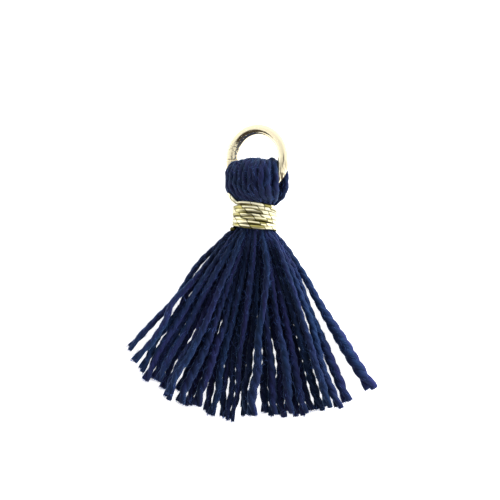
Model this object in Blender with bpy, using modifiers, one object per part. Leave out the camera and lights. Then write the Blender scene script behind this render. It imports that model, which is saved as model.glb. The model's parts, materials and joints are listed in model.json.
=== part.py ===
"""A mini tassel: a hank of navy yarn folded over a split jump ring, its neck bound with gold thread.

It lies on its back on a surface at z = 0, with the ring towards +Y and the skirt towards -Y.
The origin is on that surface, under the middle of the binding. Sizes are in millimetres and
angles in degrees, and metres() turns a point into Blender's units.
"""

import math
import random
from collections import namedtuple

import bmesh
import bpy

MM = 0.001
GAP = 0.3  # clearance between one piece and the next

# Jump ring: round wire bent into a split ring, leaning with its +X side up
RING_OUTSIDE = 6.0
RING_WIRE = 0.93
RING_TILT = 30.0
RING_SPLIT = 0.14  # opening between the wire's ends
RING_SPLIT_AT = 181.0  # round the ring, from its +X side
RING_CENTRE = (0.19, 4.87, 2.25)
RING_STEPS = 56

# Binding: turns of metallic thread laid side by side round the neck
BINDING_TOP = 1.15  # y of its edge under the head
BINDING_BOTTOM = -1.20  # y of its edge over the skirt
BINDING_TURNS = 7
BINDING_HALF_WIDTH = 1.90
BINDING_OVAL = 0.86  # its height as a share of its width
BINDING_WALL = 0.36  # one thickness of the thread
BINDING_GROOVE = 0.11  # depth between two turns
BINDING_FLAT = 0.14  # how far it is pressed flat on the surface
BINDING_SIDES = 40

NECK_HALF_WIDTH = BINDING_HALF_WIDTH - BINDING_WALL - GAP
NECK_HALF_HEIGHT = (BINDING_HALF_WIDTH - BINDING_WALL) * BINDING_OVAL - GAP
NECK_Z = BINDING_HALF_WIDTH * BINDING_OVAL - BINDING_FLAT

# Head: the folded hank, from the neck up to the middle of its fold
HeadRow = namedtuple("HeadRow", "y half_width half_depth x z tilt squareness")  # squareness 2 is oval
HEAD = (
    HeadRow(1.15, NECK_HALF_WIDTH, NECK_HALF_HEIGHT, x=0.0, z=NECK_Z, tilt=0, squareness=2.0),
    HeadRow(1.46, 1.36, 1.10, x=0.02, z=NECK_Z + 0.04, tilt=4, squareness=2.0),
    HeadRow(1.60, 1.98, 1.56, x=0.06, z=1.78, tilt=16, squareness=2.2),
    HeadRow(1.88, 2.34, 1.86, x=0.12, z=2.02, tilt=25, squareness=2.4),
    HeadRow(2.30, 2.60, 2.03, x=0.17, z=2.20, tilt=30, squareness=2.6),
    HeadRow(2.80, 2.66, 2.10, x=0.19, z=2.25, tilt=30, squareness=2.6),
)
FOLD_ANGLES = (18, 36, 52, 66, 77, 86)  # round the fold, from its middle to its top
FOLD_TOP_HALF_WIDTH = 2.28
HEAD_RIDGES = 9  # threads that lie side by side on each face
HEAD_RIDGE_DEPTH = 0.13
HEAD_SIDES = 88

# Skirt root: where the threads leave the neck, still pressed together
RootRow = namedtuple("RootRow", "y half_width x low high")
ROOT = (
    RootRow(y=-1.50, half_width=1.24, x=0.00, low=NECK_Z - NECK_HALF_HEIGHT, high=NECK_Z + NECK_HALF_HEIGHT),
    RootRow(y=-1.75, half_width=1.95, x=-0.10, low=0.34, high=2.40),
    RootRow(y=-2.15, half_width=2.55, x=-0.22, low=0.18, high=2.30),
    RootRow(y=-2.75, half_width=2.95, x=-0.28, low=0.08, high=2.12),
    RootRow(y=-3.45, half_width=3.30, x=-0.32, low=0.05, high=1.92),
)
ROOT_ARC = 0.75  # how far the root's sides stay behind its middle
ROOT_SIDES = 40

# Skirt: one row for each lock of threads, as its cut ends lie from left to right
Lock = namedtuple("Lock", "angle spread length threads bow")
SKIRT = (
    Lock(angle=-41.0, spread=0.0, length=16.3, threads=1, bow=-2.6),
    Lock(angle=-37.9, spread=0.0, length=17.0, threads=1, bow=-0.6),
    Lock(angle=-34.2, spread=0.0, length=17.5, threads=1, bow=1.0),
    Lock(angle=-30.6, spread=2.6, length=17.5, threads=2, bow=0.4),
    Lock(angle=-25.4, spread=3.2, length=18.0, threads=3, bow=-0.5),
    Lock(angle=-18.9, spread=4.6, length=17.8, threads=4, bow=0.5),
    Lock(angle=-13.0, spread=2.2, length=18.4, threads=2, bow=0.8),
    Lock(angle=-7.4, spread=3.2, length=18.5, threads=3, bow=-0.6),
    Lock(angle=-1.8, spread=3.4, length=17.9, threads=3, bow=0.5),
    Lock(angle=3.4, spread=2.2, length=18.1, threads=2, bow=-0.4),
    Lock(angle=6.9, spread=1.8, length=18.3, threads=2, bow=0.6),
    Lock(angle=12.2, spread=4.8, length=18.2, threads=4, bow=-0.5),
    Lock(angle=16.7, spread=0.0, length=18.2, threads=1, bow=0.9),
    Lock(angle=19.3, spread=0.0, length=18.2, threads=1, bow=0.3),
    Lock(angle=21.6, spread=0.0, length=18.7, threads=1, bow=-0.7),
    Lock(angle=24.9, spread=1.8, length=18.5, threads=2, bow=0.0),
    Lock(angle=31.6, spread=0.0, length=18.6, threads=1, bow=0.9),
)
FAN_APEX = (0.15, 1.15)  # the threads point at this place, as seen from above
FAN_LEFT = -42.0  # edges of the fan where it leaves the root
FAN_RIGHT = 32.5
SKIRT_START = 4.4  # from the apex to where the threads part
SKIRT_SETTLED = 11.0  # from the apex to where each thread has its lock's direction
SKIRT_STEP = 1.0  # between two points along a thread
THREAD_WIDTHS = ((4.4, 0.42), (8.0, 0.54), (11.0, 0.54), (17.0, 0.76))  # at distances from the apex
THREAD_OVAL = 0.88  # a thread's height as a share of its width
THREAD_GAP = 0.10
THREAD_ROOT_Y = -1.9  # each thread's first point, inside the root
THREAD_ROOT_SPREAD = 0.55  # how far out it is, as a share of where the threads part
THREAD_SWAY = 0.08  # sideways wander, in millimetres
TIP_SCATTER = 0.25  # unevenness of the cut


def metres(x, y, z):
    return (x * MM, y * MM, z * MM)


def smooth(t):
    t = min(max(t, 0.0), 1.0)
    return t * t * (3 - 2 * t)


def collection(name):
    made = bpy.data.collections.new(name)
    bpy.context.scene.collection.children.link(made)
    return made


def material(name, colour, roughness, metallic):
    made = bpy.data.materials.new(name)
    made.use_nodes = True
    shader = made.node_tree.nodes["Principled BSDF"]
    shader.inputs["Base Color"].default_value = (*colour, 1.0)
    shader.inputs["Roughness"].default_value = roughness
    shader.inputs["Metallic"].default_value = metallic
    made.diffuse_color = (*colour, 1.0)
    return made


def add_object(name, data, folder):
    made = bpy.data.objects.new(name, data)
    folder.objects.link(made)
    return made


def as_guide(obj):
    obj.hide_render = True
    obj.display_type = "WIRE"
    return obj


def loft(name, sections, folder):
    """Join closed sections of equal point counts into one body, with a flat cap at each end."""
    bm = bmesh.new()
    rings = [[bm.verts.new(metres(*point)) for point in section] for section in sections]
    for lower, upper in zip(rings, rings[1:]):
        for i in range(len(lower)):
            j = (i + 1) % len(lower)
            bm.faces.new((lower[i], lower[j], upper[j], upper[i]))
    bm.faces.new(rings[0])
    bm.faces.new(rings[-1])
    bmesh.ops.recalc_face_normals(bm, faces=bm.faces)
    mesh = bpy.data.meshes.new(name)
    bm.to_mesh(mesh)
    bm.free()
    return add_object(name, mesh, folder)


def mesh_from_curve(curve_object, name, folder):
    """Replace a curve by a welded mesh of it."""
    bpy.context.view_layer.update()
    evaluated = curve_object.evaluated_get(bpy.context.evaluated_depsgraph_get())
    mesh = bpy.data.meshes.new_from_object(evaluated)
    bm = bmesh.new()
    bm.from_mesh(mesh)
    bmesh.ops.remove_doubles(bm, verts=bm.verts, dist=1e-6)
    bmesh.ops.recalc_face_normals(bm, faces=bm.faces)
    bm.to_mesh(mesh)
    bm.free()
    made = add_object(name, mesh, folder)
    made.matrix_world = curve_object.matrix_world
    curve = curve_object.data
    bpy.data.objects.remove(curve_object)
    bpy.data.curves.remove(curve)
    return made


def boolean(obj, operation, operand):
    modifier = obj.modifiers.new(operand.name, "BOOLEAN")
    modifier.operation = operation
    modifier.solver = "EXACT"
    if isinstance(operand, bpy.types.Collection):
        modifier.operand_type = "COLLECTION"
        modifier.collection = operand
    else:
        modifier.object = operand
    return modifier


# ---------------------------------------------------------------- jump ring


def ring_point(angle, radius):
    """A point on a circle in the leaning plane of the jump ring."""
    across = radius * math.cos(math.radians(angle))
    tilt = math.radians(RING_TILT)
    return (
        RING_CENTRE[0] + across * math.cos(tilt),
        RING_CENTRE[1] + radius * math.sin(math.radians(angle)),
        RING_CENTRE[2] + across * math.sin(tilt),
    )


def wire(name, thickness, opening, resolution, folder):
    """A bent wire round the jump ring's centre line; an opening of 0 closes it."""
    radius = (RING_OUTSIDE - RING_WIRE) / 2
    half_gap = math.degrees(opening / 2 / radius)
    curve = bpy.data.curves.new(name, "CURVE")
    curve.dimensions = "3D"
    curve.bevel_depth = thickness / 2 * MM
    curve.bevel_resolution = resolution
    curve.use_fill_caps = opening > 0
    spline = curve.splines.new("POLY")
    steps = RING_STEPS if opening > 0 else RING_STEPS - 1
    spline.points.add(steps)
    spline.use_cyclic_u = opening == 0
    for i, point in enumerate(spline.points):
        turn = (360 - 2 * half_gap) * i / RING_STEPS
        angle = RING_SPLIT_AT + half_gap + turn
        point.co = (*metres(*ring_point(angle, radius)), 1.0)
    return mesh_from_curve(add_object(name + "_path", curve, folder), name, folder)


def jump_ring(folder):
    ring = wire("jump_ring", RING_WIRE, RING_SPLIT, 3, folder)
    ring.data.shade_smooth()
    ring.data.set_sharp_from_angle(angle=math.radians(40))
    ring.data.materials.append(material("gold plated brass", (0.86, 0.72, 0.43), 0.16, 1.0))
    return ring


# ------------------------------------------------------------------ binding


def binding(folder, surface):
    """A closed band round the neck, turned about Y, with a ridge for each turn of the thread."""
    pitch = (BINDING_TOP - BINDING_BOTTOM) / BINDING_TURNS
    hole = BINDING_HALF_WIDTH - BINDING_WALL
    profile = [(hole, BINDING_BOTTOM), (hole, BINDING_TOP)]
    for i in range(2 * BINDING_TURNS + 1):
        depth = 0.0 if i % 2 else BINDING_GROOVE
        profile.append((BINDING_HALF_WIDTH - depth, BINDING_TOP - pitch * i / 2))
    bm = bmesh.new()
    corners = [bm.verts.new(metres(x, y, 0)) for x, y in profile]
    for this, following in zip(corners, corners[1:] + corners[:1]):
        bm.edges.new((this, following))
    mesh = bpy.data.meshes.new("binding")
    bm.to_mesh(mesh)
    bm.free()
    band = add_object("binding", mesh, folder)
    band.location = metres(0, 0, NECK_Z)
    band.scale = (1, 1, BINDING_OVAL)
    turned = band.modifiers.new("turned", "SCREW")
    turned.axis = "Y"
    turned.steps = turned.render_steps = BINDING_SIDES
    turned.use_merge_vertices = True
    turned.merge_threshold = 1e-6
    band.data.materials.append(material("gold metallic thread", (0.78, 0.72, 0.38), 0.35, 0.9))
    boolean(band, "DIFFERENCE", surface)
    return band


# --------------------------------------------------------------------- head


def head_section(row, lift=0.0):
    """A squarish section across the hank; lift turns its ridges up round the fold."""
    tilt = math.radians(row.tilt)
    power = 2 / row.squareness
    points = []
    for i in range(HEAD_SIDES):
        turn = 2 * math.pi * (i + 0.5) / HEAD_SIDES
        c, s = math.cos(turn), math.sin(turn)
        across = math.copysign(abs(c) ** power, c)
        out = math.copysign(abs(s) ** power, s)
        thread = abs(math.sin(math.pi * HEAD_RIDGES * (across + 1) / 2))
        ridge = HEAD_RIDGE_DEPTH * (thread - 1) * abs(s) ** 0.5 * row.half_width / 2.6
        u = across * row.half_width
        n = out * row.half_depth + math.copysign(1, s) * ridge * math.cos(lift)
        points.append((
            row.x + u * math.cos(tilt) - n * math.sin(tilt),
            row.y + ridge * math.sin(lift),
            row.z + u * math.sin(tilt) + n * math.cos(tilt),
        ))
    return points


def head_sections():
    """The neck and head, from inside the skirt's root up to the top of the fold."""
    neck = HEAD[0]
    rows = [head_section(neck._replace(y=ROOT[1].y)), head_section(neck._replace(y=ROOT[0].y))]
    rows += [head_section(row) for row in HEAD]
    middle = HEAD[-1]
    for angle in FOLD_ANGLES:
        lift = math.radians(angle)
        share = 1 - math.cos(lift)
        rows.append(head_section(middle._replace(
            y=middle.y + middle.half_depth * math.sin(lift),
            half_width=middle.half_width + (FOLD_TOP_HALF_WIDTH - middle.half_width) * share,
            half_depth=middle.half_depth * math.cos(lift),
        ), lift))
    return rows


# -------------------------------------------------------------------- skirt


def root_sections():
    sections = []
    for row in ROOT:
        middle = (row.low + row.high) / 2
        section = []
        for i in range(ROOT_SIDES):
            turn = 2 * math.pi * i / ROOT_SIDES
            c, s = math.cos(turn), math.sin(turn)
            across = math.copysign(abs(c) ** 0.8, c)
            behind = ROOT_ARC * across * across * (ROOT[0].y - row.y) / (ROOT[0].y - ROOT[-1].y)
            z = middle + (row.high - middle) * math.copysign(abs(s) ** 0.8, s)
            section.append((row.x + across * row.half_width, row.y + behind, z))
        sections.append(section)
    return sections


def thread_width(r):
    """A thread's width at a distance from the apex: pressed thin at its root and loose at its cut end."""
    rows = THREAD_WIDTHS
    if r <= rows[0][0]:
        return rows[0][1]
    for (near, narrow), (far, wide) in zip(rows, rows[1:]):
        if r <= far:
            return narrow + (wide - narrow) * smooth((r - near) / (far - near))
    return rows[-1][1]


def skirt_threads():
    """Each thread's place in its root, its lock's direction, its length and its wander."""
    chance = random.Random(7)
    total = sum(lock.threads for lock in SKIRT)
    threads = []
    for lock in SKIRT:
        for i in range(lock.threads):
            place = len(threads) / (total - 1)
            aside = (i / (lock.threads - 1) - 0.5) if lock.threads > 1 else 0.0
            threads.append({
                "root": FAN_LEFT + (FAN_RIGHT - FAN_LEFT) * place,
                "tip": lock.angle + aside * lock.spread,
                "length": lock.length + TIP_SCATTER * chance.uniform(-1, 1) * (lock.threads > 1),
                "bow": lock.bow,
                "phase": chance.uniform(0, 2 * math.pi),
            })
    return threads


def thread_angle(thread, r):
    """Direction from the apex at a distance r from it."""
    settle = smooth((r - SKIRT_START) / (SKIRT_SETTLED - SKIRT_START))
    angle = thread["root"] + (thread["tip"] - thread["root"]) * settle
    angle += thread["bow"] * math.sin(math.pi * min((r - SKIRT_START) / 6.5, 1.0))
    sway = THREAD_SWAY * smooth((r - SKIRT_START) / 3) * smooth((15 - r) / 5)
    return angle + math.degrees(sway * math.sin(thread["phase"] + r) / r)


def laying_order(threads):
    """First the threads whose ends have room side by side on the surface, then those on top of them."""
    room = math.degrees((THREAD_WIDTHS[-1][1] + THREAD_GAP) / THREAD_WIDTHS[-1][0])
    order = []
    waiting = list(range(len(threads)))
    while waiting:
        layer = []
        for k in waiting:
            if not layer or threads[k]["tip"] - threads[layer[-1]]["tip"] > room:
                layer.append(k)
        order += layer[0::2] + layer[1::2]
        waiting = [k for k in waiting if k not in layer]
    return order


def laid_heights(threads, stations):
    """Height of each thread's underside, laid one after another on the surface and each other."""
    order = laying_order(threads)
    across = [[math.radians(thread_angle(t, r)) * r for r in stations] for t in threads]
    low = {}
    for k in order:
        needed = []
        for s, r in enumerate(stations):
            width = thread_width(r)
            reach = width + THREAD_GAP
            rise = width * THREAD_OVAL + THREAD_GAP
            below = [low[j][s] + rise for j in low if abs(across[j][s] - across[k][s]) < reach]
            needed.append(max(below, default=0.0))
        last = len(stations) - 1
        held = [max(needed[max(s - 1, 0):min(s + 1, last) + 1]) for s in range(last + 1)]
        low[k] = [sum(held[max(s - 1, 0):min(s + 1, last) + 1]) / (min(s + 1, last) - max(s - 1, 0) + 1)
                  for s in range(last + 1)]
    return [low[k] for k in range(len(threads))]


def thread_profile(folder):
    """The four-sided section that every thread of the skirt has."""
    curve = bpy.data.curves.new("thread_section", "CURVE")
    curve.dimensions = "2D"
    spline = curve.splines.new("POLY")
    spline.points.add(3)
    spline.use_cyclic_u = True
    corners = ((-1, -1), (1, -1), (1, 1), (-1, 1))
    for point, (a, b) in zip(spline.points, corners):
        point.co = (*metres(a / 2, b * THREAD_OVAL / 2, 0), 1.0)
    return as_guide(add_object("thread_section", curve, folder))


def skirt_strand(name, thread, stations, low, profile, folder):
    """One thread from inside the root to its cut end."""
    curve = bpy.data.curves.new(name, "CURVE")
    curve.dimensions = "3D"
    curve.twist_mode = "Z_UP"
    curve.bevel_mode = "OBJECT"
    curve.bevel_object = profile
    curve.use_fill_caps = True
    path = []
    for r, underside in zip(stations, low):
        if r < thread["length"] - SKIRT_STEP / 2:
            path.append((r, underside))
    end = thread["length"]
    share = (end - path[-1][0]) / SKIRT_STEP
    following = low[min(len(path), len(low) - 1)]
    path.append((end, path[-1][1] + (following - path[-1][1]) * min(share, 1.0)))
    centres = []
    for r, underside in path:
        width = thread_width(r)
        angle = math.radians(thread_angle(thread, r))
        x = FAN_APEX[0] + r * math.sin(angle)
        y = FAN_APEX[1] - r * math.cos(angle)
        centres.append((x, y, underside + THREAD_OVAL * width / 2, width))
    x, y, z, width = centres[0]
    first = (x * THREAD_ROOT_SPREAD, THREAD_ROOT_Y, (z + NECK_Z) / 2, width)
    spline = curve.splines.new("POLY")
    spline.points.add(len(centres))
    for point, (x, y, z, width) in zip(spline.points, [first] + centres):
        point.co = (*metres(x, y, z), 1.0)
        point.radius = width
    made = add_object(name + "_path", curve, folder)
    return as_guide(mesh_from_curve(made, name, folder))


def yarn(folder, cutters, surface):
    """Head, neck, skirt root and skirt threads as one body, with the ring's way through its fold."""
    hank = loft("yarn", head_sections(), folder)
    parts = collection("yarn_parts")
    as_guide(loft("skirt_root", root_sections(), parts))
    profile = thread_profile(cutters)
    threads = skirt_threads()
    longest = max(thread["length"] for thread in threads)
    count = math.ceil((longest - SKIRT_START) / SKIRT_STEP) + 1
    stations = [SKIRT_START + SKIRT_STEP * i for i in range(count)]
    heights = laid_heights(threads, stations)
    for i, (thread, low) in enumerate(zip(threads, heights)):
        skirt_strand(f"thread_{i:02d}", thread, stations, low, profile, parts)
    boolean(hank, "DIFFERENCE", surface)
    boolean(hank, "UNION", parts)
    tunnel = as_guide(wire("ring_way", RING_WIRE + 2 * GAP, 0, 3, cutters))
    boolean(hank, "DIFFERENCE", tunnel)
    hank.data.materials.append(material("navy cotton yarn", (0.011, 0.014, 0.055), 0.85, 0.0))
    return hank


def surface_block(cutters):
    """What lies below the surface, which the head and the binding are pressed flat on."""
    bpy.ops.mesh.primitive_cube_add(size=60 * MM, location=metres(0, -5, -30))
    block = bpy.context.object
    block.name = "surface_block"
    for holder in list(block.users_collection):
        holder.objects.unlink(block)
    cutters.objects.link(block)
    return as_guide(block)


def main():
    for obj in list(bpy.data.objects):
        bpy.data.objects.remove(obj)
    tassel = collection("tassel")
    cutters = collection("cutters")
    surface = surface_block(cutters)
    yarn(tassel, cutters, surface)
    binding(tassel, surface)
    jump_ring(tassel)


main()
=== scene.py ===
import json
import math
import random

import bmesh
import bpy
from mathutils import Matrix, Vector
from mathutils.kdtree import KDTree

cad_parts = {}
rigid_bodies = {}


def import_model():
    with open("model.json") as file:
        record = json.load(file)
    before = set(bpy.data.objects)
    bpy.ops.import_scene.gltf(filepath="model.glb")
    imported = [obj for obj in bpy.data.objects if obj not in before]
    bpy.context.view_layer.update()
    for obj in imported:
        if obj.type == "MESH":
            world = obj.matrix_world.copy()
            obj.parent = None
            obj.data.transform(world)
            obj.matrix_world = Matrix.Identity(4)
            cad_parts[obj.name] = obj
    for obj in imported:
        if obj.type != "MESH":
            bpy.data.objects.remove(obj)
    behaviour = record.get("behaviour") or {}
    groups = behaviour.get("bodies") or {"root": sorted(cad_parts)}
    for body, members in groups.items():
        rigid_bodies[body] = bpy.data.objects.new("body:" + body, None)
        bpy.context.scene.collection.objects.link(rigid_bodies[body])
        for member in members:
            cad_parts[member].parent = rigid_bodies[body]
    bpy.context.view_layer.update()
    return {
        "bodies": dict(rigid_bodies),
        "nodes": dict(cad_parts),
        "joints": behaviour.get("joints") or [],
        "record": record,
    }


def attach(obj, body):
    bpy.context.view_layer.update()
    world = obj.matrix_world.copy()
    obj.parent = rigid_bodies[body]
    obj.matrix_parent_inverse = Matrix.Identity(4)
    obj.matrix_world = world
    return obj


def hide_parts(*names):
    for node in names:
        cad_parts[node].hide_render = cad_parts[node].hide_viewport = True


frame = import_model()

# ---------------------------------------------------------------- jump ring
# A split ring of round brass wire, plated pale gold and polished. It is bent round a mandrel, cut
# through on one side and closed by hand, so its two ends meet with a fine line between them.
# It leans with its right side up, and the yarn hangs from its lower half.

MM = 0.001
RING_RADIUS = 2.50  # to the middle of the wire
RING_WIRE, WIRE_SPREAD = 0.93, 0.20  # the wire is this much thicker where it was cut and pressed closed
RING_TILT = math.radians(30)
RING_CENTRE = Vector((0.22, 4.83, 2.25))
RING_SPLIT = math.radians(0.7)  # opening between the wire's ends
RING_SPLIT_AT = math.radians(181)
RING_STEPS = 144
WIRE_SIDES = 32
WIRE_EDGE = 0.05  # rounding of the cut ends
# The second colour is painted shade: dark brown streaks that stand for the shade and reflection of the yarn
# where the wire dips into it.
GOLD_PLATE, PAINTED_YARN_SHADE = "#F3E8C6", "#4A3A26"
LEAST_HAZE, MOST_HAZE, SCUFF_HAZE = 0.07, 0.17, 0.06  # roughness from handling, and added by the scuffs
METAL_CLEAN, METAL_SCUFFED = 0.94, 0.85
HAZE_SCALE, DENT_SCALE, SCUFF_SCALE = 2.2, 5.0, 4.5  # a millimetre: marks 0.45, 0.20 and 0.22 mm wide
DENT_DEPTH, SCUFF_DEPTH = 0.02, 0.07
GRIPPED_AT = (-1.92, 5.85, 1.05)  # where pliers held the wire, beside its cut
GRIP_NEAR, GRIP_FAR = 0.45, 1.15  # the scuffs fade out between these distances from there
WIRE_FREE, WIRE_COVERED = 4.9, 3.1  # y where the wire goes into the yarn, and where it is deep in it
STREAK_SCALE = (6.5, 1.5, 2)  # a millimetre: streaks 0.15 mm wide and 0.7 mm long
STREAK_TURN = math.radians(12)
UNSHADED_BELOW, SHADED_ABOVE = 0.42, 0.54  # values of the streaks' noise


def linear(colour):
    """An sRGB hex colour as Blender's linear RGBA."""
    parts = [int(colour[i:i + 2], 16) / 255 for i in (1, 3, 5)]
    return [p / 12.92 if p <= 0.04045 else ((p + 0.055) / 1.055) ** 2.4 for p in parts] + [1.0]


def add_node(tree, kind, settings=None, links=None):
    """Adds a node. A setting goes to the input of that name or number, and otherwise to the property.

    Map Range takes its range in as inputs 1 and 2 and its range out as 3 and 4. Mix takes its factor
    as input 0, its two numbers as 2 and 3, and its two colours as 6 and 7.
    """
    made = tree.nodes.new(kind)
    for name, value in (settings or {}).items():
        if isinstance(name, int) or name in made.inputs:
            made.inputs[name].default_value = value
        else:
            setattr(made, name, value)
    for name, output in (links or {}).items():
        tree.links.new(output, made.inputs[name])
    return made


def new_material(name):
    """An empty node material, its tree, its Object coordinates in millimetres and its UV map."""
    made = bpy.data.materials.new(name)
    made.use_nodes = True
    tree = made.node_tree
    tree.nodes.clear()
    place = add_node(tree, "ShaderNodeTexCoord")
    in_mm = add_node(tree, "ShaderNodeMapping", {"Scale": (1000, 1000, 1000)},
                     {"Vector": place.outputs["Object"]})
    return made, tree, in_mm.outputs["Vector"], place.outputs["UV"]


def finish_material(tree, shader):
    """Joins a finished shader to the material's output."""
    add_node(tree, "ShaderNodeOutputMaterial", links={"Surface": shader.outputs["BSDF"]})


def add_piece(name, mesh, material, node=None):
    """Puts a finished mesh on the CAD's one body."""
    mesh.materials.clear()
    mesh.materials.append(material)
    mesh.shade_smooth()
    piece = bpy.data.objects.new(name, mesh)
    bpy.context.scene.collection.objects.link(piece)
    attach(piece, "root")
    if node:
        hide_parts(node)
    return piece


def mesh_of(bm, name):
    """Turns a bmesh into a mesh of that name, with its faces outwards."""
    mesh = bpy.data.meshes.new(name)
    bmesh.ops.recalc_face_normals(bm, faces=bm.faces)
    bm.to_mesh(mesh)
    bm.free()
    return mesh


def wire_radius(outward):
    """The ring wire's radius in the direction of a unit vector from the ring's middle."""
    return (RING_WIRE + WIRE_SPREAD * (1 - outward.x) / 2) / 2


def ring_mesh():
    """The wire's round section spun round the ring's axis from one cut end to the other."""
    bm = bmesh.new()
    bmesh.ops.create_circle(bm, cap_ends=False, segments=WIRE_SIDES, radius=RING_WIRE / 2 * MM)
    start = RING_SPLIT_AT + RING_SPLIT / 2
    upright = Matrix.Rotation(math.radians(90), 4, "X")
    bmesh.ops.transform(bm, matrix=Matrix.Translation((RING_RADIUS * MM, 0, 0)) @ upright, verts=bm.verts)
    bmesh.ops.rotate(bm, cent=(0, 0, 0), matrix=Matrix.Rotation(start, 3, "Z"), verts=bm.verts)
    bmesh.ops.spin(bm, geom=bm.verts[:] + bm.edges[:], cent=(0, 0, 0), axis=(0, 0, 1),
                   angle=math.tau - RING_SPLIT, steps=RING_STEPS)
    open_edges = [edge for edge in bm.edges if edge.is_boundary]
    caps = bmesh.ops.holes_fill(bm, edges=open_edges, sides=0)["faces"]
    rims = [edge for edge in bm.edges if any(face in caps for face in edge.link_faces)]
    bmesh.ops.bevel(bm, geom=rims, offset=WIRE_EDGE * MM, segments=3, profile=0.5, affect="EDGES",
                    material=-1)
    for vertex in bm.verts:
        outward = Vector((vertex.co.x, vertex.co.y, 0)).normalized()
        middle = outward * RING_RADIUS * MM
        vertex.co = middle + (vertex.co - middle) * wire_radius(outward) / (RING_WIRE / 2)
    lean = Matrix.Translation(RING_CENTRE * MM) @ Matrix.Rotation(-RING_TILT, 4, "Y")
    bmesh.ops.transform(bm, matrix=lean, verts=bm.verts)
    return mesh_of(bm, "jump_ring_wire")


# Gold-plated brass: a mirror-like metal, warm and pale, under a trace of dull haze from handling,
# with soft dents from the mandrel and small scuffs near the cut, where pliers gripped it. Where the
# wire sits in the yarn it is painted with dark brown streaks: painted shade and painted reflection
# of the yarn round it.
gold_plate, tree, place, _ = new_material("gold plated brass")
haze = add_node(tree, "ShaderNodeTexNoise", {"Scale": HAZE_SCALE, "Detail": 3.0}, {"Vector": place})
handled = add_node(tree, "ShaderNodeMapRange", {3: LEAST_HAZE, 4: MOST_HAZE}, {0: haze.outputs["Fac"]})
from_grip = add_node(tree, "ShaderNodeVectorMath", {"operation": "DISTANCE", 1: GRIPPED_AT}, {0: place})
gripped = add_node(tree, "ShaderNodeMapRange", {1: GRIP_NEAR, 2: GRIP_FAR, 3: 1.0, 4: 0.0},
                   {0: from_grip.outputs["Value"]})
dulled = add_node(tree, "ShaderNodeMath", {"operation": "MULTIPLY_ADD", 1: SCUFF_HAZE},
                  {0: gripped.outputs["Result"], 2: handled.outputs["Result"]})
metal = add_node(tree, "ShaderNodeMapRange", {3: METAL_CLEAN, 4: METAL_SCUFFED},
                 {0: gripped.outputs["Result"]})
dents = add_node(tree, "ShaderNodeTexNoise", {"Scale": DENT_SCALE, "Detail": 1.0}, {"Vector": place})
dented = add_node(tree, "ShaderNodeBump", {"Strength": 0.25, "Distance": DENT_DEPTH * MM},
                  {"Height": dents.outputs["Fac"]})
scuffs = add_node(tree, "ShaderNodeTexNoise", {"Scale": SCUFF_SCALE, "Detail": 2.0, "Distortion": 0.6},
                  {"Vector": place})
scuffed = add_node(tree, "ShaderNodeBump", {"Distance": SCUFF_DEPTH * MM},
                   {"Strength": gripped.outputs["Result"], "Height": scuffs.outputs["Fac"],
                    "Normal": dented.outputs["Normal"]})
on_wire = add_node(tree, "ShaderNodeSeparateXYZ", links={0: place})
in_yarn = add_node(tree, "ShaderNodeMapRange", {1: WIRE_FREE, 2: WIRE_COVERED}, {0: on_wire.outputs["Y"]})
along_wire = add_node(tree, "ShaderNodeMapping", {"Scale": STREAK_SCALE, "Rotation": (0, 0, STREAK_TURN)},
                      {"Vector": place})
streaks = add_node(tree, "ShaderNodeTexNoise", {"Scale": 1.0, "Detail": 1.0},
                   {"Vector": along_wire.outputs["Vector"]})
streaked = add_node(tree, "ShaderNodeMapRange", {1: UNSHADED_BELOW, 2: SHADED_ABOVE}, {0: streaks.outputs["Fac"]})
# Painted shade and painted reflection: dark brown streaks where the wire goes into the yarn, stronger the
# deeper it lies in it.
painted_shade_streaks = add_node(tree, "ShaderNodeMath", {"operation": "MULTIPLY"},
                      {0: in_yarn.outputs["Result"], 1: streaked.outputs["Result"]})
plate_and_painted_shade = add_node(
    tree, "ShaderNodeMix",
    {"data_type": "RGBA", 6: linear(GOLD_PLATE), 7: linear(PAINTED_YARN_SHADE)},
    {"Factor": painted_shade_streaks.outputs["Value"]})
finish_material(tree, add_node(
    tree, "ShaderNodeBsdfPrincipled",
    links={"Base Color": plate_and_painted_shade.outputs[2], "Metallic": metal.outputs["Result"],
           "Roughness": dulled.outputs["Value"], "Normal": scuffed.outputs["Normal"]}))

add_piece("split_ring", ring_mesh(), gold_plate, "jump_ring")


# --------------------------------------------------------------------- yarn
# A hank of navy two-ply cotton yarn: seventeen threads folded over the ring, so that seventeen
# pairs of cut ends hang below the neck. Each thread is two soft plies twisted together, pressed
# thin in the neck, fuller in the head, and loose enough at its cut end for the plies to part.

HEAD_THREADS = 17
INNER_THREADS = (1, 4, 7, 9, 12, 15)  # of each leg from left to right; the others form its face
INNER_DEPTH = 0.60  # how deep an inner thread lies, as a share of the face's depth
INNER_SPREAD = 0.78  # how far they spread from left to right, as a share of the face's threads
INNER_ROWS = (0.0, 0.5)  # an inner thread lies on the ring's wire, or this much above those that do
HEAD_EDGE = 0.97  # how far out the last thread of a leg lies, as a share of the half width

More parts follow.
